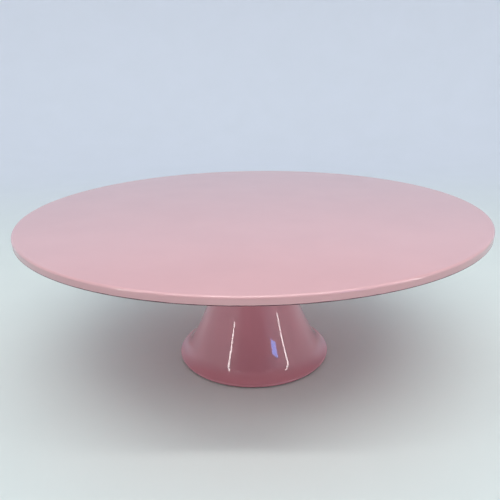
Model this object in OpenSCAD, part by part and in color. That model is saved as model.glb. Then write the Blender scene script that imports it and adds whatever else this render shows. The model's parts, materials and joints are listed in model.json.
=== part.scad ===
// Cake turntable: a round sheet-steel plate with a turned-down rim, on a trumpet-shaped pedestal.
// The plate is bolted to a hub, and the hub's spindle turns in two ball bearings in the neck.
// Z is up, the axis of rotation is the Z axis, and the table is at z = 0. All sizes are in mm.

/* [Plate] */
// Diameter of the plate over its rim
plate_d = 300; // [240:10:400]
// Height of the rim, from its lower edge to the top of the plate
rim_h = 4.6; // [4:0.2:8]
// Outer radius of the shoulder between the plate's top and its rim
shoulder_r = 1.2; // [0.8:0.1:3]
// Thickness of the sheet steel of the plate and of the pedestal
sheet_t = 1.5; // [1:0.1:1.8]

/* [Pedestal] */
// Height of the plate's top above the table
total_h = 107; // [91:2:131]
// Outer diameter of the neck, at its narrowest
neck_d = 47; // [46:1:60]
// Outer diameter of the foot, over its curled lip
foot_d = 108; // [104:1:150]
// Radius of the tighter arc that spreads the flare out into the foot
foot_arc_r = 17; // [12:0.5:20]
// Slope of the foot at its lip, in degrees from the vertical
foot_angle = 66; // [62:1:78]
// Radius of the curled lip round the foot
lip_r = 1; // [0.9:0.1:1.2]
// Height of the lip above the table, where the silicone ring holds it
lip_gap = 0.4; // [0.3:0.1:1.5]

/* [Hub] */
// Diameter of the hub's flange under the plate
hub_d = 110; // [100:5:150]
// Thickness of the hub's flange
hub_t = 3.5; // [3:0.5:5]
// Diameter of the circle of studs that hold the hub to the plate
stud_circle_d = 80; // [60:5:90]
// Number of studs
stud_count = 4; // [3:1:6]

/* [Bearings] */
// Length of the spacers between the two bearings
spacer_h = 13; // [8:1:18]
// Number of balls in each bearing
ball_count = 8; // [6:1:8]

/* [Hidden] */
$fn = 96;
ARC_FN = 360;
BALL_FN = 64;

LEVELS = ["upper", "lower"];

PINK = [0.80, 0.62, 0.66];
SILICONE = [0.85, 0.85, 0.83];
ALUMINIUM = [0.77, 0.78, 0.79];
ZINC = [0.70, 0.71, 0.70];
STEEL = [0.62, 0.63, 0.65];
BLACK_OXIDE = [0.20, 0.20, 0.21];
SEAL_RUBBER = [0.12, 0.12, 0.13];
NYLON = [0.90, 0.88, 0.80];

eps = 0.01;          // how far a cutting shape runs past a face
lap = 0.02;          // degrees by which one arc of a wall runs into the next
fit_gap = 0.02;      // radial clearance of a ground fit
thread_gap = 0.05;   // radial clearance of a thread drawn as a plain cylinder
running_gap = 0.15;  // radial clearance between a seal's lip and the ring that turns in it

// Plate
plate_r = plate_d / 2;
plate_under = total_h - sheet_t;
rim_bottom = total_h - rim_h;
rim_turn = rim_bottom + sheet_t / 2;            // where the rim's rounded lower edge starts
fold_r = max(0.2, shoulder_r - sheet_t);        // inner radius of the shoulder

// Pedestal: its neck, its flare arc and its foot arc meet tangentially
hub_clearance = 0.8;
hub_boss_h = 6.2;
hub_boss_bottom = plate_under - hub_t - hub_boss_h;
pedestal_top = hub_boss_bottom - hub_clearance;
pedestal_hole_r = 15;
neck_r = neck_d / 2;
neck_shoulder_r = 2;
flare_top = pedestal_top - 3;
foot_r = foot_d / 2;
lip_centre = [foot_r - lip_r, lip_gap + lip_r];
foot_centre = lip_centre + (lip_r + foot_arc_r) * [cos(foot_angle), sin(foot_angle)];
flare_dx = neck_r - foot_centre.x;
flare_dz = flare_top - foot_centre.y;
flare_r = (foot_arc_r^2 - flare_dx^2 - flare_dz^2) / (2 * (flare_dx + foot_arc_r));
flare_centre = [neck_r + flare_r, flare_top];
flare_angle = asin(flare_dz / (flare_r - foot_arc_r));

// Silicone ring under the foot
foot_ring_outer_r = foot_r - 3.1;
foot_ring_w = 4.5;
glue_t = 0.05;
ring_groove_w = 1.6;
ring_groove_h = 0.5;

// Ball bearings of 15 mm bore, 35 mm outside diameter and 11 mm width
bearing_bore_r = 7.5;
bearing_outer_r = 17.5;
bearing_w = 11;
pitch_r = 12.5;
ball_d = 5.953;
groove_r = 3.03;
inner_shoulder_r = 10.85;
outer_shoulder_r = 14.45;
seal_seat_r = 15.25;
seal_t = 0.9;
seal_recess = 0.1;
ring_chamfer = 0.5;
cage_inner_r = 11.4;
cage_outer_r = 13.6;
cage_bottom = -3.6;
cage_top = 1.4;
pocket_r = 3.08;

// Bearing housing, hung in the neck from the pedestal's top
housing_top = pedestal_top - sheet_t;
housing_lip_t = 6.3;
housing_lip_r = 14;
housing_r = 20;
housing_flange_r = neck_r - neck_shoulder_r;
bearing_centres = [for (i = [0, 1])
    housing_top - housing_lip_t - bearing_w / 2 - i * (bearing_w + spacer_h)];
bearings_top = bearing_centres[0] + bearing_w / 2;
bearings_bottom = bearing_centres[1] - bearing_w / 2;
housing_bottom = bearings_bottom - 4.2;
circlip_t = 1.5;
circlip_r = 18.3;
circlip_groove_r = 18.4;
screw_circle_r = 17.8;
screw_count = 4;
screw_r = 1.5;
screw_head_r = 2.9;

// Hub, spindle and their fasteners
hub_boss_r = 17;
hub_fillet_r = 2;
spigot_h = 4.2;
collar_r = 10;
collar_flats = 17;
stud_r = 2;
stud_end = 5.5;      // how far a stud reaches below the hub's flange
weld_flange_r = 2.75;
weld_flange_t = 0.8;
washer_t = 0.8;
stud_nut_across = 7;
stud_nut_h = 3.2;
hub_screw_r = 4;
hub_screw_head_r = 7.9;
hub_screw_length = 21;
hub_screw_drop = 0.2; // how far the head lies below the hub's face
spindle_thread_r = 6;
spindle_washer_r = 10;
spindle_washer_t = 2;
spindle_nut_across = 18;
spindle_nut_h = 8;
nut_collar_r = 7.9;
nut_collar_h = 3.6;
insert_t = 2.4;
thread_end = 4;      // how far the spindle's thread shows below its nut

// ---- outlines and shapes that repeat ----

// A wedge with its point at the origin, up to a right angle wide and longer than a given radius
module wedge(radius, from, to) {
    middle = (from + to) / 2;
    polygon([[0, 0], for (a = [from, middle, to]) 2 * radius * [cos(a), sin(a)]]);
}

// The outline of a wall along an arc: radius is the side nearer the arc's centre
module arc_wall(centre, radius, wall, from, to) {
    translate(centre) intersection() {
        difference() {
            circle(radius + wall, $fn = ARC_FN);
            circle(radius, $fn = ARC_FN);
        }
        wedge(radius + wall, from, to);
    }
}

// Half the outline of a round block with a rounded top edge, from bottom to top
module half_block(radius, bottom, top, edge_r) {
    translate([0, bottom]) square([radius - edge_r, top - bottom]);
    translate([0, bottom]) square([radius, top - edge_r - bottom]);
    translate([radius, top] - edge_r * [1, 1]) circle(edge_r);
}

// A plain ring on the Z axis
module ring(inner_r, outer_r, bottom, top) {
    rotate_extrude() translate([inner_r, bottom]) square([outer_r - inner_r, top - bottom]);
}

// Copies of the children, spread evenly on a circle
module around(count, radius) {
    for (i = [0 : count - 1]) rotate(i * 360 / count) translate([radius, 0, 0]) children();
}

// A countersunk screw with its head up and its face at z = 0
module countersunk_screw(shank_r, head_r, length, key_across) {
    head_h = head_r - shank_r;
    key_r = key_across / 2 / cos(30);
    difference() {
        union() {
            translate([0, 0, -head_h]) cylinder(head_h, shank_r, head_r);
            translate([0, 0, -length]) cylinder(length - head_h, r = shank_r);
        }
        translate([0, 0, -0.6 * head_h]) cylinder(head_h, r = key_r, $fn = 6);
    }
}

// The cutter for such a screw: a countersink above a hole, with clearance all round
module countersunk_hole(shank_r, head_r, length, gap) {
    head_h = head_r - shank_r;
    translate([0, 0, -head_h]) cylinder(head_h + eps, shank_r + gap, head_r + gap + eps);
    translate([0, 0, -length]) cylinder(length, r = shank_r + gap);
}

// A hexagon nut from z = 0 up, with its corners turned off at both ends
module hexagon_nut(across, height, bore_r) {
    corner_r = across / 2 / cos(30);
    bevel = 0.5 * (corner_r - across / 2) + 0.2;
    difference() {
        intersection() {
            cylinder(height, r = corner_r, $fn = 6);
            rotate_extrude() polygon([
                [0, 0], [corner_r - 2 * bevel, 0], [corner_r, bevel],
                [corner_r, height - bevel], [corner_r - 2 * bevel, height], [0, height]]);
        }
        translate([0, 0, -eps]) cylinder(height + 2 * eps, r = bore_r);
    }
}

// ---- base: the pieces that stand still ----

// The spun pedestal: top disc, neck, flare, foot and curled lip in one sheet
module pedestal() {
    color(PINK) difference() {
        rotate_extrude() {
            translate([pedestal_hole_r, pedestal_top - sheet_t])
                square([neck_r - neck_shoulder_r - pedestal_hole_r, sheet_t]);
            arc_wall([neck_r, pedestal_top] - neck_shoulder_r * [1, 1],
                neck_shoulder_r - sheet_t, sheet_t, 0, 90);
            translate([neck_r - sheet_t, flare_top])
                square([sheet_t, pedestal_top - neck_shoulder_r - flare_top]);
            arc_wall(flare_centre, flare_r, sheet_t, 180, 180 + flare_angle);
            arc_wall(foot_centre, foot_arc_r, sheet_t, 180 + flare_angle - lap, 180 + foot_angle);
            translate(lip_centre) circle(lip_r, $fn = ARC_FN);
        }
        around(screw_count, screw_circle_r) translate([0, 0, pedestal_top])
            countersunk_hole(screw_r, screw_head_r, 2 * sheet_t, 0.1);
    }
}

// A soft ring glued under the foot, with a groove that leaves two lips on the table
module foot_ring() {
    inner_r = foot_ring_outer_r - foot_ring_w;
    middle_r = foot_ring_outer_r - foot_ring_w / 2;
    color(SILICONE) rotate_extrude() difference() {
        translate([inner_r, 0]) square([foot_ring_w, foot_centre.y]);
        translate(foot_centre) circle(foot_arc_r + sheet_t + glue_t, $fn = ARC_FN);
        translate([middle_r - ring_groove_w / 2, -eps]) square([ring_groove_w, ring_groove_h + eps]);
    }
}

// The turned tube that holds both bearings, with a flange under the pedestal's top
module bearing_housing() {
    chamfer = 0.8;
    color(ALUMINIUM) difference() {
        rotate_extrude() difference() {
            union() {
                translate([housing_lip_r, housing_top - housing_lip_t])
                    square([housing_flange_r - housing_lip_r, housing_lip_t]);
                translate([bearing_outer_r + fit_gap, housing_bottom])
                    square([housing_r - bearing_outer_r - fit_gap, housing_top - housing_bottom]);
            }
            translate([0, bearings_bottom - circlip_t - 0.1]) square([circlip_groove_r, circlip_t + 0.2]);
            translate([bearing_outer_r, housing_bottom]) rotate(45) square(chamfer, center = true);
        }
        around(screw_count, screw_circle_r) translate([0, 0, housing_top - 5.5])
            cylinder(5.5 + eps, r = screw_r);
    }
}

// Countersunk screws that hold the housing to the pedestal's top
module housing_screws() {
    color(ZINC) around(screw_count, screw_circle_r) translate([0, 0, pedestal_top - 0.05])
        countersunk_screw(screw_r - thread_gap, screw_head_r - thread_gap, 6.5, 2);
}

// The snap ring under the lower bearing, with an eye at each end
module housing_circlip() {
    eye_angle = 14;
    eye_r = 15.6;
    color(BLACK_OXIDE) translate([0, 0, bearings_bottom - circlip_t]) linear_extrude(circlip_t) {
        difference() {
            circle(circlip_r);
            circle(circlip_r - 2.4);
            wedge(circlip_r, -eye_angle, eye_angle);
        }
        for (side = [-1, 1]) rotate(side * eye_angle) difference() {
            translate([eye_r, 0]) circle(1.7);
            translate([eye_r, 0]) circle(0.8);
        }
    }
}

// Sleeve between the two outer rings
module outer_spacer() {
    color(ALUMINIUM) ring(seal_seat_r + 0.05, bearing_outer_r - 0.05,
        bearings_bottom + bearing_w, bearings_top - bearing_w);
}

// ---- turntable: the pieces that turn with the plate ----

// The plate: a flat disc, a rounded shoulder and a short rim with a rounded lower edge
module plate() {
    color(PINK) rotate_extrude($fn = ARC_FN) {
        difference() {
            half_block(plate_r, rim_turn, total_h, shoulder_r);
            half_block(plate_r - sheet_t, rim_turn - eps, plate_under, fold_r);
        }
        translate([plate_r - sheet_t / 2, rim_turn]) circle(sheet_t / 2);
    }
}

// Studs welded to the underside of the plate
module weld_studs() {
    length = hub_t + stud_end;
    color(ZINC) around(stud_count, stud_circle_d / 2) translate([0, 0, plate_under]) {
        translate([0, 0, -length + 0.4]) cylinder(length - 0.4, r = stud_r);
        translate([0, 0, -length]) cylinder(0.4, stud_r - 0.4, stud_r);
        translate([0, 0, -weld_flange_t]) cylinder(weld_flange_t, r = weld_flange_r);
    }
}

// The hub: a flange under the plate and a boss that seats the spindle
module hub() {
    edge = 1;
    hub_r = hub_d / 2;
    flange_bottom = plate_under - hub_t;
    color(ALUMINIUM) difference() {
        rotate_extrude() difference() {
            polygon([
                [0, plate_under], [hub_r, plate_under], [hub_r, flange_bottom + edge],
                [hub_r - edge, flange_bottom], [hub_boss_r + hub_fillet_r, flange_bottom],
                [hub_boss_r, flange_bottom - hub_fillet_r], [hub_boss_r, hub_boss_bottom],
                [0, hub_boss_bottom]]);
            translate([hub_boss_r, flange_bottom] + hub_fillet_r * [1, -1]) circle(hub_fillet_r);
        }
        translate([0, 0, hub_boss_bottom - eps])
            cylinder(spigot_h + 0.2 + eps, r = bearing_bore_r + thread_gap);
        translate([0, 0, plate_under])
            countersunk_hole(hub_screw_r, hub_screw_head_r, hub_t + hub_boss_h, 0.3);
        around(stud_count, stud_circle_d / 2) translate([0, 0, flange_bottom - eps]) {
            cylinder(hub_t + 2 * eps, r = stud_r + 0.25);
            translate([0, 0, hub_t - weld_flange_t - 0.2])
                cylinder(weld_flange_t + 0.2 + 2 * eps, r = weld_flange_r + 0.3);
        }
    }
}

// Washers under the hub's flange
module stud_washers() {
    color(ZINC) around(stud_count, stud_circle_d / 2)
        translate([0, 0, plate_under - hub_t - washer_t]) difference() {
            cylinder(washer_t, r = 4.5);
            translate([0, 0, -eps]) cylinder(washer_t + 2 * eps, r = stud_r + 0.15);
        }
}

// Nuts on the studs
module stud_nuts() {
    color(ZINC) around(stud_count, stud_circle_d / 2)
        translate([0, 0, plate_under - hub_t - washer_t - stud_nut_h])
            hexagon_nut(stud_nut_across, stud_nut_h, stud_r + thread_gap);
}

// The spindle: a spigot for the hub, a collar with two flats, a journal and a threaded end
module spindle() {
    journal_r = bearing_bore_r - fit_gap;
    thread_r = spindle_thread_r - thread_gap;
    shoulder = bearings_bottom + 0.4;
    tip = bearings_bottom - spindle_washer_t - spindle_nut_h - nut_collar_h - thread_end;
    flat_bottom = bearings_top + 1.2;
    flat_h = hub_boss_bottom - 1.2 - flat_bottom;
    color(STEEL) difference() {
        rotate_extrude() polygon([
            [0, tip], [thread_r - 0.8, tip], [thread_r, tip + 0.8], [thread_r, shoulder],
            [journal_r, shoulder + 0.5], [journal_r, bearings_top], [collar_r, bearings_top],
            [collar_r, hub_boss_bottom], [bearing_bore_r, hub_boss_bottom],
            [bearing_bore_r, hub_boss_bottom + spigot_h], [0, hub_boss_bottom + spigot_h]]);
        for (side = [0, 180]) rotate(side)
            translate([collar_flats / 2, -collar_r, flat_bottom]) cube([collar_r, 2 * collar_r, flat_h]);
        translate([0, 0, plate_under - hub_screw_drop - hub_screw_length - 1])
            cylinder(hub_screw_length, r = hub_screw_r);
    }
}

// The countersunk screw that clamps the hub to the spindle, hidden under the plate
module hub_screw() {
    color(ZINC) translate([0, 0, plate_under - hub_screw_drop])
        countersunk_screw(hub_screw_r - thread_gap, hub_screw_head_r, hub_screw_length, 5);
}

// Sleeve between the two inner rings
module inner_spacer() {
    color(ALUMINIUM) ring(bearing_bore_r + 0.05, inner_shoulder_r - 0.45,
        bearings_bottom + bearing_w, bearings_top - bearing_w);
}

// Washer under the lower bearing's inner ring
module spindle_washer() {
    color(ZINC) ring(spindle_thread_r + 0.4, spindle_washer_r,
        bearings_bottom - spindle_washer_t, bearings_bottom);
}

// Locking nut on the spindle's end, with a turned collar below that holds its nylon insert
module spindle_nut() {
    top = bearings_bottom - spindle_washer_t;
    color(ZINC) difference() {
        union() {
            translate([0, 0, top - spindle_nut_h])
                hexagon_nut(spindle_nut_across, spindle_nut_h, spindle_thread_r);
            translate([0, 0, top - spindle_nut_h - nut_collar_h]) cylinder(nut_collar_h + 1, r = nut_collar_r);
        }
        translate([0, 0, top - spindle_nut_h - nut_collar_h - eps])
            cylinder(spindle_nut_h + nut_collar_h + 1, r = spindle_thread_r);
        translate([0, 0, top - spindle_nut_h - insert_t - 0.6]) cylinder(insert_t, r = nut_collar_r - 0.9);
    }
}

// The nylon ring that grips the thread
module spindle_nut_insert() {
    bottom = bearings_bottom - spindle_washer_t - spindle_nut_h - insert_t - 0.6;
    color(NYLON) ring(spindle_thread_r, nut_collar_r - 0.9, bottom, bottom + insert_t);
}

// ---- the two bearings ----

// Outer ring: ball groove, a seat for a seal at each side, and chamfered outer edges
module bearing_outer_ring(centre) {
    half = bearing_w / 2;
    seat = half - seal_recess - seal_t;
    color(STEEL) translate([0, 0, centre]) rotate_extrude() difference() {
        polygon([
            [outer_shoulder_r, -seat], [seal_seat_r, -seat], [seal_seat_r, -half],
            [bearing_outer_r - ring_chamfer, -half], [bearing_outer_r, -half + ring_chamfer],
            [bearing_outer_r, half - ring_chamfer], [bearing_outer_r - ring_chamfer, half],
            [seal_seat_r, half], [seal_seat_r, seat], [outer_shoulder_r, seat]]);
        translate([pitch_r, 0]) circle(groove_r);
    }
}

// Inner ring: ball groove and chamfered bore
module bearing_inner_ring(centre) {
    half = bearing_w / 2;
    color(STEEL) translate([0, 0, centre]) rotate_extrude() difference() {
        polygon([
            [bearing_bore_r + ring_chamfer, -half], [inner_shoulder_r, -half], [inner_shoulder_r, half],
            [bearing_bore_r + ring_chamfer, half], [bearing_bore_r, half - ring_chamfer],
            [bearing_bore_r, -half + ring_chamfer]]);
        translate([pitch_r, 0]) circle(groove_r);
    }
}

// Rubber seal in the outer ring: side is 1 for the top and -1 for the bottom
module bearing_seal(centre, side) {
    middle = centre + side * (bearing_w / 2 - seal_recess - seal_t / 2);
    color(SEAL_RUBBER) ring(inner_shoulder_r + running_gap, seal_seat_r - 0.05,
        middle - seal_t / 2, middle + seal_t / 2);
}

// Crown cage: a ring with a round pocket for each ball, open at the top
module bearing_cage(centre) {
    color(NYLON) translate([0, 0, centre]) difference() {
        ring(cage_inner_r, cage_outer_r, cage_bottom, cage_top);
        around(ball_count, pitch_r) sphere(pocket_r, $fn = BALL_FN);
    }
}

// One ball, counted from the +X axis
module bearing_ball(centre, index) {
    color(STEEL) rotate((index - 1) * 360 / ball_count) translate([pitch_r, 0, centre])
        sphere(d = ball_d, $fn = BALL_FN);
}

pedestal();
foot_ring();
bearing_housing();
housing_screws();
housing_circlip();
outer_spacer();
plate();
weld_studs();
hub();
stud_washers();
stud_nuts();
spindle();
hub_screw();
inner_spacer();
spindle_washer();
spindle_nut();
spindle_nut_insert();
for (i = [0, 1]) {
    bearing = str(LEVELS[i], "_bearing_");
    centre = bearing_centres[i];
    bearing_outer_ring(centre);
    bearing_inner_ring(centre);
    bearing_seal(centre, 1);
    bearing_seal(centre, -1);
    bearing_cage(centre);
    for (k = [1 : ball_count])
        bearing_ball(centre, k);
}
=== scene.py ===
"""Looks of the cake turntable: fine lathe-turned shells, paint and metal finishes, a pale stage and a camera.

All lengths are in metres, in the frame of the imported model: Z is up and is the axis of rotation.
"""

import json
import math

import bmesh
import bpy
from mathutils import Matrix, Vector


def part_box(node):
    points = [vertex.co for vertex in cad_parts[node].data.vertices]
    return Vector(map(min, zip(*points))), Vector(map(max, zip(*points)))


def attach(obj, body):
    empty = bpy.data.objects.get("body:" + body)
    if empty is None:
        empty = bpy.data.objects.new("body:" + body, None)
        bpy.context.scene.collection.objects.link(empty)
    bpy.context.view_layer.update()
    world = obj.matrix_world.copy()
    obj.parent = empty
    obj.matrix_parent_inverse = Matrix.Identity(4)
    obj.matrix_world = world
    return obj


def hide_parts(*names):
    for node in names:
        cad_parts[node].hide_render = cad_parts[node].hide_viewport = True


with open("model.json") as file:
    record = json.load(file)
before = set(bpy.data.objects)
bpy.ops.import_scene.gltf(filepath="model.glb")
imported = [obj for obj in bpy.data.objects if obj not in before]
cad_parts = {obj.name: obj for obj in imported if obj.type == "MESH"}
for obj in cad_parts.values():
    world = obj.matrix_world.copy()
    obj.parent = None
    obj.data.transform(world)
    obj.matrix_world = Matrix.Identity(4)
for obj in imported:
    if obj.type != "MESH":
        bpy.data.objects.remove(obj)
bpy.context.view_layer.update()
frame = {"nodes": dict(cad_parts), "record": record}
NODES = frame["nodes"]
MM = 0.001

# ---- driving sizes: the boxes come from the frame, the radii are the sheet-metal outlines' own

SHEET = 1.5 * MM
EDGE_R = SHEET / 2

PLATE_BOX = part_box("plate")
PLATE_R = 150 * MM
PLATE_TOP = PLATE_BOX[1].z
RIM_BOTTOM = PLATE_BOX[0].z
SHOULDER_R = 1.2 * MM
FOLD_R = 0.2 * MM

PEDESTAL_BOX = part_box("pedestal")
NECK_R = 23.5 * MM
NECK_TOP = PEDESTAL_BOX[1].z
NECK_HOLE_R = 15 * MM
NECK_SHOULDER_R = 2 * MM
FLARE_TOP = NECK_TOP - 3 * MM
FOOT_R = 54 * MM
FOOT_ARC_R = 17 * MM
FOOT_ANGLE = 66
LIP_R = 1 * MM
LIP_BOTTOM = PEDESTAL_BOX[0].z

SCREW_CIRCLE_R = 17.8 * MM
SCREW_COUNT = 4
SHANK_HOLE_R = 1.6 * MM
SINK_R = 3.0 * MM

PLATE_SEGMENTS = 360
PEDESTAL_SEGMENTS = 240
CUTTER_SEGMENTS = 48
STAGE_SEGMENTS = 128
CORNER = math.radians(40)


# ---- outlines and turned shapes


def arc(centre, radius, start, end, steps):
    """Points on an arc of the (radius, height) half-plane, from start to end in degrees."""
    points = []
    for i in range(steps + 1):
        a = math.radians(start + (end - start) * i / steps)
        points.append((centre[0] + radius * math.cos(a), centre[1] + radius * math.sin(a)))
    return points


def line(start, end, steps):
    """Points on a straight line, without its ends."""
    shares = [i / steps for i in range(1, steps)]
    return [(start[0] + (end[0] - start[0]) * s, start[1] + (end[1] - start[1]) * s) for s in shares]


def turned(name, outline, segments):
    """A closed solid of revolution about Z, from an outline of (radius, height) points."""
    shape = bmesh.new()
    rings = []
    for radius, height in outline:
        if radius < 1e-9:
            rings.append([shape.verts.new((0, 0, height))] * segments)
            continue
        ring = []
        for k in range(segments):
            a = 2 * math.pi * k / segments
            ring.append(shape.verts.new((radius * math.cos(a), radius * math.sin(a), height)))
        rings.append(ring)
    for i, ring in enumerate(rings):
        after = rings[(i + 1) % len(rings)]
        for k in range(segments):
            n = (k + 1) % segments
            corners = list(dict.fromkeys([ring[k], ring[n], after[n], after[k]]))
            if len(corners) > 2:
                shape.faces.new(corners)
    bmesh.ops.recalc_face_normals(shape, faces=shape.faces)
    mesh = bpy.data.meshes.new(name)
    shape.to_mesh(mesh)
    shape.free()
    piece = bpy.data.objects.new(name, smooth(mesh))
    bpy.context.scene.collection.objects.link(piece)
    return piece


def smooth(mesh):
    """Smooth shading, with sharp corners kept."""
    mesh.shade_smooth()
    mesh.set_sharp_from_angle(angle=CORNER)
    return mesh


def drilled(piece, outline, circle_r, count):
    """The piece with a turned hole cut out at each of the places round a circle."""
    cutters = []
    for i in range(count):
        cutter = turned("cutter", outline, CUTTER_SEGMENTS)
        a = 2 * math.pi * i / count
        cutter.data.transform(Matrix.Translation((circle_r * math.cos(a), circle_r * math.sin(a), 0)))
        cut = piece.modifiers.new("hole", "BOOLEAN")
        cut.operation, cut.solver, cut.object = "DIFFERENCE", "EXACT", cutter
        cutters.append(cutter)
    whole = piece.evaluated_get(bpy.context.evaluated_depsgraph_get())
    mesh = smooth(bpy.data.meshes.new_from_object(whole))
    piece.modifiers.clear()
    piece.data = mesh
    for cutter in cutters:
        bpy.data.objects.remove(cutter)
    return piece


def plate_outline():
    """The plate: top, rounded shoulder, rim with a rounded lower edge, and underside."""
    under = PLATE_TOP - SHEET
    support = 0.4 * MM  # a narrow flat strip beside each bend keeps the shading of the flats even
    shoulder = (PLATE_R - SHOULDER_R, PLATE_TOP - SHOULDER_R)
    edge = (PLATE_R - EDGE_R, RIM_BOTTOM + EDGE_R)
    fold = (PLATE_R - SHEET - FOLD_R, under - FOLD_R)
    points = [(0, PLATE_TOP)]
    points += line((0, PLATE_TOP), (shoulder[0] - support, PLATE_TOP), 12)
    points += [(shoulder[0] - support, PLATE_TOP)]
    points += arc(shoulder, SHOULDER_R, 90, 0, 16)
    points += line(points[-1], (PLATE_R, edge[1]), 4)
    points += arc(edge, EDGE_R, 0, -180, 16)
    points += line(points[-1], (PLATE_R - SHEET, fold[1]), 4)
    points += arc(fold, FOLD_R, 0, 90, 6)
    points += [(fold[0] - support, under)]
    points += line(points[-1], (0, under), 12)
    return points + [(0, under)]


def pedestal_outline():
    """The pedestal: top disc, neck, flare arc, foot arc and lip, which meet tangentially."""
    slope = math.radians(FOOT_ANGLE)
    lip = (FOOT_R - LIP_R, LIP_BOTTOM + LIP_R)
    reach, under = LIP_R + FOOT_ARC_R, FOOT_ARC_R + SHEET
    lip_turn = math.degrees(math.acos((reach**2 + LIP_R**2 - under**2) / (2 * reach * LIP_R)))
    foot_turn = math.degrees(math.acos((reach**2 + under**2 - LIP_R**2) / (2 * reach * under)))
    foot = (lip[0] + reach * math.cos(slope), lip[1] + reach * math.sin(slope))
    dx, dz = NECK_R - foot[0], FLARE_TOP - foot[1]
    flare_r = (FOOT_ARC_R**2 - dx**2 - dz**2) / (2 * (dx + FOOT_ARC_R))
    flare = (NECK_R + flare_r, FLARE_TOP)
    turn = math.degrees(math.asin(dz / (flare_r - FOOT_ARC_R)))
    shoulder = (NECK_R - NECK_SHOULDER_R, NECK_TOP - NECK_SHOULDER_R)
    points = [(NECK_HOLE_R, NECK_TOP)]
    points += line(points[-1], (shoulder[0], NECK_TOP), 4)
    points += arc(shoulder, NECK_SHOULDER_R, 90, 0, 12)
    points += arc(flare, flare_r, 180, 180 + turn, 72)
    points += arc(foot, FOOT_ARC_R, 180 + turn, 180 + FOOT_ANGLE, 24)[1:]
    points += arc(lip, LIP_R, FOOT_ANGLE, FOOT_ANGLE - 360 + lip_turn, 28)[1:]
    points += arc(foot, under, 180 + FOOT_ANGLE - foot_turn, 180 + turn, 24)[1:]
    points += arc(flare, flare_r + SHEET, 180 + turn, 180, 72)[1:]
    points += arc(shoulder, NECK_SHOULDER_R - SHEET, 0, 90, 6)
    return points + [(NECK_HOLE_R, NECK_TOP - SHEET)]


def sink_outline():
    """The cutter for a countersunk hole through the pedestal's top."""
    bottom, top = NECK_TOP - 2 * SHEET, NECK_TOP + SHEET
    cone_bottom = NECK_TOP - (SINK_R - SHANK_HOLE_R)
    shank = [(0, bottom), (SHANK_HOLE_R, bottom), (SHANK_HOLE_R, cone_bottom)]
    return shank + [(SINK_R, NECK_TOP), (SINK_R, top), (0, top)]


# ---- materials


class Finish:
    """A material with a Principled shader, and short helpers for the nodes that drive it."""

    def __init__(self, name, colour, roughness, metallic=0.0):
        self.material = bpy.data.materials.new(name)
        self.material.use_nodes = True
        self.tree = self.material.node_tree
        self.shader = next(n for n in self.tree.nodes if n.type == "BSDF_PRINCIPLED")
        self.shader.inputs["Base Color"].default_value = (*colour, 1)
        self.shader.inputs["Roughness"].default_value = roughness
        self.shader.inputs["Metallic"].default_value = metallic
        self.place = self.tree.nodes.new("ShaderNodeTexCoord").outputs["Object"]

    def set(self, **values):
        """Sets the shader's own sockets; an underscore stands for a space."""
        for name, value in values.items():
            self.shader.inputs[name.replace("_", " ")].default_value = value
        return self

    def join(self, source, target):
        self.tree.links.new(source, target)

    def math(self, operation, first, second=0.0, third=0.0):
        node = self.tree.nodes.new("ShaderNodeMath")
        node.operation = operation
        for socket, value in zip(node.inputs, (first, second, third)):
            if isinstance(value, bpy.types.NodeSocket):
                self.join(value, socket)
            else:
                socket.default_value = value
        return node.outputs[0]

    def axis(self, name):
        """One coordinate of the surface point: X, Y or Z."""
        node = self.tree.nodes.new("ShaderNodeSeparateXYZ")
        self.join(self.place, node.inputs[0])
        return node.outputs[name]

    def radius(self):
        """The surface point's distance from the Z axis."""
        x, y = self.axis("X"), self.axis("Y")
        return self.math("SQRT", self.math("ADD", self.math("MULTIPLY", x, x), self.math("MULTIPLY", y, y)))

    def noise(self, size, detail=2.0, rough=0.5, along=None):
        """Noise whose features are about size metres across, optionally of another vector."""
        node = self.tree.nodes.new("ShaderNodeTexNoise")
        node.inputs["Scale"].default_value = 1 / size
        node.inputs["Detail"].default_value = detail
        node.inputs["Roughness"].default_value = rough
        self.join(along or self.place, node.inputs["Vector"])
        return node.outputs["Fac"]

    def remap(self, value, low, high, to_low=0.0, to_high=1.0, smooth=False):
        node = self.tree.nodes.new("ShaderNodeMapRange")
        node.interpolation_type = "SMOOTHSTEP" if smooth else "LINEAR"
        self.join(value, node.inputs["Value"])
        for name, number in (("From Min", low), ("From Max", high), ("To Min", to_low), ("To Max", to_high)):
            node.inputs[name].default_value = number
        return node.outputs["Result"]

    def blend(self, share, first, second):
        """A colour between two, each a colour or a socket."""
        node = self.tree.nodes.new("ShaderNodeMix")
        node.data_type = "RGBA"
        self.join(share, node.inputs["Factor"])
        for name, value in (("A", first), ("B", second)):
            socket = next(s for s in node.inputs if s.name == name and s.type == "RGBA")
            if isinstance(value, bpy.types.NodeSocket):
                self.join(value, socket)
            else:
                socket.default_value = (*value, 1)
        return next(s for s in node.outputs if s.type == "RGBA")

    def bump(self, height, depth, after=None):
        """A bump of that depth in metres, on top of an earlier one if given."""
        node = self.tree.nodes.new("ShaderNodeBump")
        node.inputs["Distance"].default_value = depth
        self.join(height, node.inputs["Height"])
        if after:
            self.join(after, node.inputs["Normal"])
        return node.outputs["Normal"]

    def drive(self, **sources):
        """Links sockets into the shader; an underscore stands for a space."""
        for name, source in sources.items():
            self.join(source, self.shader.inputs[name.replace("_", " ")])
        return self

    def dress(self, piece):
        piece.data.materials.clear()
        piece.data.materials.append(self.material)
        return piece


PLATE_PINK = (0.675, 0.372, 0.395)
# painted shade: the pedestal's pink is a more saturated copy of the plate's paint, standing in for the shade
# and pink bounce light under the plate
PEDESTAL_PINK_SHADED = (0.82, 0.315, 0.380)
BURGUNDY = (0.085, 0.022, 0.028)
PLATE_COAT = 0.88
PEDESTAL_COAT = 1.0
PAINT_ROUGHNESS = 0.42
EDGE_BAND_ROUGHNESS = 0.6


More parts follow.
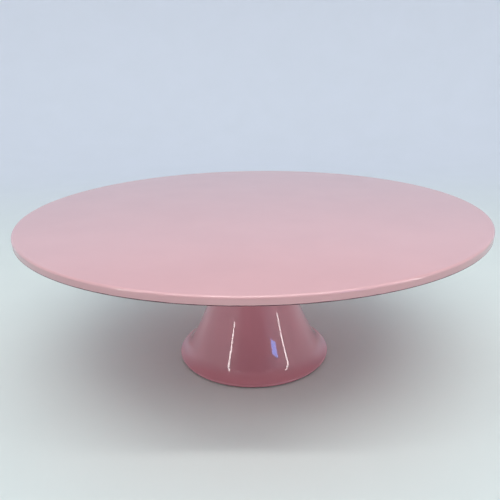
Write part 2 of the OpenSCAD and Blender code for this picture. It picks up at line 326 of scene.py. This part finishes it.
def gloss_paint(name, colour, coat):
    """Pink stoving paint: faint mottling, orange peel, and slow waves in the sheet below it."""
    finish = Finish(name, colour, PAINT_ROUGHNESS)
    finish.set(Specular_IOR_Level=0.3, Coat_Weight=coat, Coat_Roughness=0.03, Coat_IOR=1.5)
    mottling = finish.remap(finish.noise(28 * MM, detail=3), 0.3, 0.7)
    finish.colour = finish.blend(mottling, colour, tuple(0.965 * c for c in colour))
    waves = finish.bump(finish.noise(16 * MM, detail=0), 9e-6)
    peel = finish.bump(finish.noise(1.9 * MM, detail=1), 1.6e-6, waves)
    finish.drive(Normal=peel, Coat_Normal=peel)
    return finish


def plate_paint():
    """The plate's paint, which turns dark burgundy, rougher and without coat over the lower edge of the rim.
    """
    finish = gloss_paint("pink_paint_plate", PLATE_PINK, PLATE_COAT)
    rise = finish.math("SUBTRACT", finish.axis("Z"), RIM_BOTTOM)
    ragged = finish.remap(finish.noise(7 * MM, detail=3), 0.3, 0.7, -0.12 * MM, 0.12 * MM)
    # a dark burgundy band over the lowest part of the rim's edge, with a ragged top
    dark_edge_band = finish.remap(finish.math("ADD", rise, ragged), 0.50 * MM, 0.80 * MM, 1.0, 0.0, smooth=True)
    finish.drive(
        Base_Color=finish.blend(dark_edge_band, finish.colour, BURGUNDY),
        Roughness=finish.remap(dark_edge_band, 0, 1, PAINT_ROUGHNESS, EDGE_BAND_ROUGHNESS),
        Coat_Weight=finish.remap(dark_edge_band, 0, 1, PLATE_COAT, 0.0),
    )
    return finish


def pedestal_paint():
    """The pedestal's paint, with a painted contact shade: dark burgundy right under the lip."""
    finish = gloss_paint("pink_paint_pedestal", PEDESTAL_PINK_SHADED, PEDESTAL_COAT)
    rise = finish.math("SUBTRACT", finish.axis("Z"), LIP_BOTTOM)
    # painted shade: a thin dark burgundy band right under the lip stands in for the contact shadow on the
    # table
    dark_edge_band = finish.remap(rise, 0.05 * MM, 0.2 * MM, 1.0, 0.0, smooth=True)
    finish.drive(Base_Color=finish.blend(dark_edge_band, finish.colour, BURGUNDY))
    return finish


def turned_metal(name, colour, roughness, groove=0.12 * MM, depth=1.2e-6):
    """Metal from a lathe: fine rings round the axis, and a slightly uneven shine."""
    finish = Finish(name, colour, roughness, 1.0)
    rings = finish.tree.nodes.new("ShaderNodeCombineXYZ")
    finish.join(finish.radius(), rings.inputs["X"])
    finish.join(finish.axis("Z"), rings.inputs["Z"])
    marks = finish.noise(groove, detail=2, along=rings.outputs[0])
    cloud = finish.noise(9 * MM, detail=3)
    darker = tuple(0.86 * c for c in colour)
    finish.drive(
        Normal=finish.bump(marks, depth),
        Base_Color=finish.blend(finish.remap(cloud, 0.35, 0.65), colour, darker),
        Roughness=finish.remap(marks, 0.3, 0.7, roughness - 0.07, roughness + 0.09),
    )
    return finish


def plated_metal(name, colour, tint, roughness):
    """Bright plated fasteners: a faint second tint, small blotches and soft scuffs."""
    finish = Finish(name, colour, roughness, 1.0)
    blotch = finish.remap(finish.noise(2.2 * MM, detail=4), 0.35, 0.68)
    scuff = finish.noise(0.35 * MM, detail=2)
    finish.drive(
        Base_Color=finish.blend(blotch, colour, tint),
        Roughness=finish.remap(blotch, 0, 1, roughness, roughness + 0.16),
        Normal=finish.bump(scuff, 1.5e-6),
    )
    return finish


def soft_finish(name, colour, shade, roughness, grain, depth, **values):
    """Moulded rubber, silicone or nylon: a fine grain and a slow shade."""
    finish = Finish(name, colour, roughness).set(**values)
    slow = finish.remap(finish.noise(6 * MM, detail=3), 0.35, 0.65)
    fine = finish.noise(grain, detail=3)
    finish.drive(
        Base_Color=finish.blend(slow, colour, shade),
        Roughness=finish.remap(fine, 0.3, 0.7, roughness - 0.06, roughness + 0.06),
        Normal=finish.bump(fine, depth),
    )
    return finish


FINISHES = {
    "silicone": soft_finish("silicone", (0.62, 0.62, 0.60), (0.55, 0.55, 0.52), 0.5, 0.4 * MM, 4e-6),
    "aluminium": turned_metal("turned_aluminium", (0.80, 0.81, 0.82), 0.30),
    "turned_steel": turned_metal("turned_steel", (0.52, 0.52, 0.53), 0.26, 0.09 * MM),
    "bearing_steel": turned_metal("ground_bearing_steel", (0.63, 0.64, 0.66), 0.12, 0.05 * MM, 2e-7),
    "zinc_plate": plated_metal("zinc_plate", (0.66, 0.68, 0.70), (0.60, 0.58, 0.50), 0.24),
    "black_oxide": plated_metal("black_oxide", (0.045, 0.045, 0.050), (0.075, 0.068, 0.060), 0.42),
    "seal_rubber": soft_finish(
        "seal_rubber", (0.020, 0.020, 0.022), (0.032, 0.031, 0.031), 0.55, 0.2 * MM, 6e-6),
    "nylon": soft_finish("nylon", (0.78, 0.75, 0.64), (0.72, 0.68, 0.56), 0.42, 0.5 * MM, 3e-6),
}


def dress_nodes():
    """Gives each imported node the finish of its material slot."""
    for part in frame["record"]["subparts"]:
        finish = FINISHES.get(part["material_slot"])
        if finish:
            finish.dress(NODES[part["node"]])


# ---- pieces


def shell(piece, finish, node, body):
    """Paints a sheet-metal shell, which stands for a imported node."""
    finish.dress(piece)
    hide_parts(node)
    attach(piece, body)


# ---- stage, light and camera

STAGE_R = 1.25
STAGE_CURVE_R = 0.45
STAGE_TOP = 1.5
CARD = 0.02

FLOOR = (0.715, 0.765, 0.752)
FLOOR_FAR_LIT = (0.83, 0.85, 0.82)
BACKDROP = (0.80, 0.80, 0.87)
UPPER_WALL_SHADE = (0.34, 0.37, 0.40)
DARK_ROOM_SHADE = (0.05, 0.05, 0.055)
GREY_GRAIN = (0.60, 0.62, 0.61)
GLOW = (1.0, 0.985, 0.965)
GLOW_STRENGTH = 0.16


def stage_finish():
    """Matt card: a pale table that painted light makes lighter towards the back, a bluish wall whose top is
    painted darker as painted shade and whose sides glow as painted light, and a dark patch in front as
    painted shade.
    """
    finish = Finish("stage_card", FLOOR, 0.7).set(Specular_IOR_Level=0.25)
    x, y, z, radius = finish.axis("X"), finish.axis("Y"), finish.axis("Z"), finish.radius()

    # the card's colour: along the table, where painted light makes it lighter towards the back, up the wall
    # behind it, and on the wall's top, which is painted darker as painted shade
    table = finish.blend(finish.remap(y, -0.16, 0.05, smooth=True), FLOOR, FLOOR_FAR_LIT)
    card = finish.blend(finish.remap(y, 0.10, 0.9, smooth=True), table, BACKDROP)
    card = finish.blend(finish.remap(finish.noise(60 * MM, detail=3), 0.3, 0.7, 0.0, 0.06), card, GREY_GRAIN)
    # painted shade: the wall turns dark grey above about half a metre, standing in for the dim room above
    card = finish.blend(finish.remap(z, 0.48, 0.70, smooth=True), card, UPPER_WALL_SHADE)

    # painted shade: the part of the wall that lies behind the camera is painted dark, standing in for the
    # unlit room there
    bearing = finish.math("ARCTAN2", x, finish.math("MULTIPLY", y, -1.0))
    aside = finish.math("ABSOLUTE", finish.math("ADD", bearing, 0.05))
    ahead = finish.remap(aside, math.radians(20), math.radians(40), 1.0, 0.0, smooth=True)
    dark_room_shade = finish.math("MULTIPLY", ahead, finish.remap(radius, 0.6, 0.85, smooth=True))

    # painted light: the wall glows at both sides, though the card is no lamp
    sideways = finish.math("DIVIDE", finish.math("ABSOLUTE", x), radius)
    sides = finish.remap(sideways, 0.6, 0.8, smooth=True)
    strength = finish.remap(z, 0.05, 0.2, 0.0, GLOW_STRENGTH, smooth=True)

    finish.set(Emission_Color=(*GLOW, 1))
    finish.drive(
        Base_Color=finish.blend(dark_room_shade, card, DARK_ROOM_SHADE),
        Emission_Strength=finish.math("MULTIPLY", strength, sides),
    )
    return finish


def build_stage():
    """A round table that curves up into a wall all round, open at the top."""
    bend = (STAGE_R - STAGE_CURVE_R, STAGE_CURVE_R)
    outline = [(0, 0)] + line((0, 0), (bend[0], 0), 8)
    outline += arc(bend, STAGE_CURVE_R, -90, 0, 24)
    outline += [(STAGE_R, STAGE_TOP), (STAGE_R + CARD, STAGE_TOP)]
    outline += arc(bend, STAGE_CURVE_R + CARD, 0, -90, 24)
    outline += [(0, -CARD)]
    stage = stage_finish().dress(turned("stage", outline, STAGE_SEGMENTS))


WARM_WHITE = (1.0, 0.985, 0.96)
COOL_WHITE = (0.95, 0.97, 1.0)
BLUE = (0.10, 0.36, 1.0)
SKY = (0.80, 0.93, 1.0)
SKY_STRENGTH = 1.10


def area_light(name, place, target, size, watts, colour):
    """A rectangular light that the camera doesn't see."""
    light = bpy.data.lights.new(name, "AREA")
    light.shape = "RECTANGLE"
    light.size, light.size_y = size
    light.energy = watts
    light.color = colour
    lamp = bpy.data.objects.new(name, light)
    lamp.location = place
    lamp.rotation_euler = (Vector(target) - Vector(place)).to_track_quat("-Z", "Y").to_euler()
    lamp.visible_camera = False
    bpy.context.scene.collection.objects.link(lamp)
    return lamp


def gloss_light(*settings):
    """An area light that shows in gloss alone and lights nothing."""
    area_light(*settings).visible_diffuse = False


def light_stage():
    """A lit room, and an upside-down U of slim strips in front of the turntable, its top the key light."""
    area_light("front_panel", (0, -0.78, 0.92), (0, 0, 0.05), (1.2, 0.3), 3.4, WARM_WHITE)
    area_light("key_bar", (0.04, -0.27, 0.45), (0.04, -0.10, 0.10), (0.54, 0.02), 0.88, WARM_WHITE)
    gloss_light("left_strip", (-0.229, -0.25, 0.244), (0, 0, 0.244), (0.014, 0.310), 0.21, WARM_WHITE)
    gloss_light("right_strip", (0.310, -0.203, 0.2625), (0, 0, 0.2625), (0.014, 0.377), 0.26, WARM_WHITE)
    gloss_light("blue_window", (0.69, -0.855, 0.385), (0, 0, 0.05), (0.18, 0.09), 0.60, BLUE)
    area_light("wall_wash", (0, 0.60, 0.90), (0, STAGE_R, 0.20), (1.8, 0.2), 1.4, COOL_WHITE)
    world = bpy.data.worlds.new("room")
    world.use_nodes = True
    background = next(n for n in world.node_tree.nodes if n.type == "BACKGROUND")
    background.inputs["Color"].default_value = (*SKY, 1)
    background.inputs["Strength"].default_value = SKY_STRENGTH
    bpy.context.scene.world = world


LENS_MM = 36
SENSOR_MM = 36
CAMERA_PLACE = (0.0011, -0.332, 0.187)
CAMERA_PITCH = math.radians(18.42)
CAMERA_YAW = math.radians(-0.50)
CAMERA_ROLL = math.radians(0.96)


def place_camera():
    """A normal lens close to the turntable, looking down on it with a slight roll."""
    camera = bpy.data.cameras.new("camera")
    camera.lens = LENS_MM
    camera.sensor_width = SENSOR_MM
    camera.clip_start = 0.01
    holder = bpy.data.objects.new("camera", camera)
    turn = Matrix.Rotation(-CAMERA_YAW, 4, "Z") @ Matrix.Rotation(math.pi / 2 - CAMERA_PITCH, 4, "X")
    turn = turn @ Matrix.Rotation(-CAMERA_ROLL, 4, "Z")
    holder.matrix_world = Matrix.Translation(CAMERA_PLACE) @ turn
    bpy.context.scene.collection.objects.link(holder)
    bpy.context.scene.camera = holder
    bpy.context.scene.view_settings.view_transform = "Standard"


# ---- the scene

dress_nodes()
shell(turned("plate_shell", plate_outline(), PLATE_SEGMENTS), plate_paint(), "plate", "turntable")
pedestal = turned("pedestal_shell", pedestal_outline(), PEDESTAL_SEGMENTS)
pedestal = drilled(pedestal, sink_outline(), SCREW_CIRCLE_R, SCREW_COUNT)
shell(pedestal, pedestal_paint(), "pedestal", "base")
build_stage()
light_stage()
place_camera()
